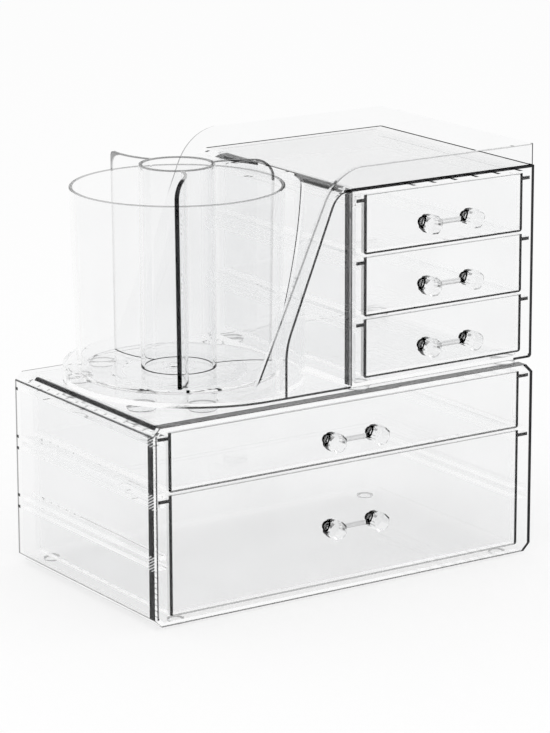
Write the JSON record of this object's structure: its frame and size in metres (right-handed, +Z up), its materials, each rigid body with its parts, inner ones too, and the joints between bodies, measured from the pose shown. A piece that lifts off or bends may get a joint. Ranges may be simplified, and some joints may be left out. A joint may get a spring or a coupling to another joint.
{
  "type": "brush holder with drawer",
  "caption": "Clear desktop organiser: a wide drawer cabinet carrying a small-drawer tower with a railed tray on top, beside a divided brush cup that turns on a round base.",
  "frame": {"origin": "middle of the footprint, drawer pulls included, on the surface it stands on", "axes": "+X to the right seen from the front, -Y the drawer fronts, +Z up"},
  "size_m": [0.24, 0.1516, 0.2267],
  "materials": {
    "clear_case": "clear, polished",
    "clear_drawer": "clear, polished",
    "clear_pull": "clear, polished",
    "clear_cup": "clear, polished",
    "clear_divider": "clear, polished",
    "clear_hardware": "clear, polished",
    "cabinet_feet": "clear, polished",
    "stacking_feet": "clear, polished"
  },
  "bodies": {
    "organiser": {"cabinet_shell": "clear_case", "tower_shell": "clear_case", "tray_and_cup_base": "clear_case", "swivel_pin": "clear_hardware", "glide_ring": "clear_hardware", "cabinet_foot_front_left": "cabinet_feet", "cabinet_foot_front_right": "cabinet_feet", "cabinet_foot_back_left": "cabinet_feet", "cabinet_foot_back_right": "cabinet_feet", "base_foot_back_inner": "stacking_feet", "base_foot_back_outer": "stacking_feet", "base_foot_front_outer": "stacking_feet", "base_foot_front_inner": "stacking_feet", "tower_foot_front_left": "stacking_feet", "tower_foot_front_right": "stacking_feet", "tower_foot_back_left": "stacking_feet", "tower_foot_back_right": "stacking_feet"},
    "wide_shallow_drawer": {"wide_shallow_drawer": "clear_drawer", "wide_shallow_pull": "clear_pull"},
    "wide_deep_drawer": {"wide_deep_drawer": "clear_drawer", "wide_deep_pull": "clear_pull"},
    "small_top_drawer": {"small_top_drawer": "clear_drawer", "small_top_pull": "clear_pull"},
    "small_middle_drawer": {"small_middle_drawer": "clear_drawer", "small_middle_pull": "clear_pull"},
    "small_bottom_drawer": {"small_bottom_drawer": "clear_drawer", "small_bottom_pull": "clear_pull"},
    "turning_cup": {"brush_cup": "clear_cup", "cup_divider": "clear_divider"}
  },
  "joints": [
    {"name": "wide_shallow_drawer_slide", "type": "slide", "parent": "organiser", "child": "wide_shallow_drawer", "axis": [0, -1, 0], "range_m": [0, 0.1]},
    {"name": "wide_deep_drawer_slide", "type": "slide", "parent": "organiser", "child": "wide_deep_drawer", "axis": [0, -1, 0], "range_m": [0, 0.1]},
    {"name": "small_top_drawer_slide", "type": "slide", "parent": "organiser", "child": "small_top_drawer", "axis": [0, -1, 0], "range_m": [0, 0.1]},
    {"name": "small_middle_drawer_slide", "type": "slide", "parent": "organiser", "child": "small_middle_drawer", "axis": [0, -1, 0], "range_m": [0, 0.1]},
    {"name": "small_bottom_drawer_slide", "type": "slide", "parent": "organiser", "child": "small_bottom_drawer", "axis": [0, -1, 0], "range_m": [0, 0.1]},
    {"name": "cup_turn", "type": "hinge", "parent": "organiser", "child": "turning_cup", "pos_m": [-0.0605, 0.00575, 0.1141], "axis": [0, 0, 1], "continuous": true}
  ]
}
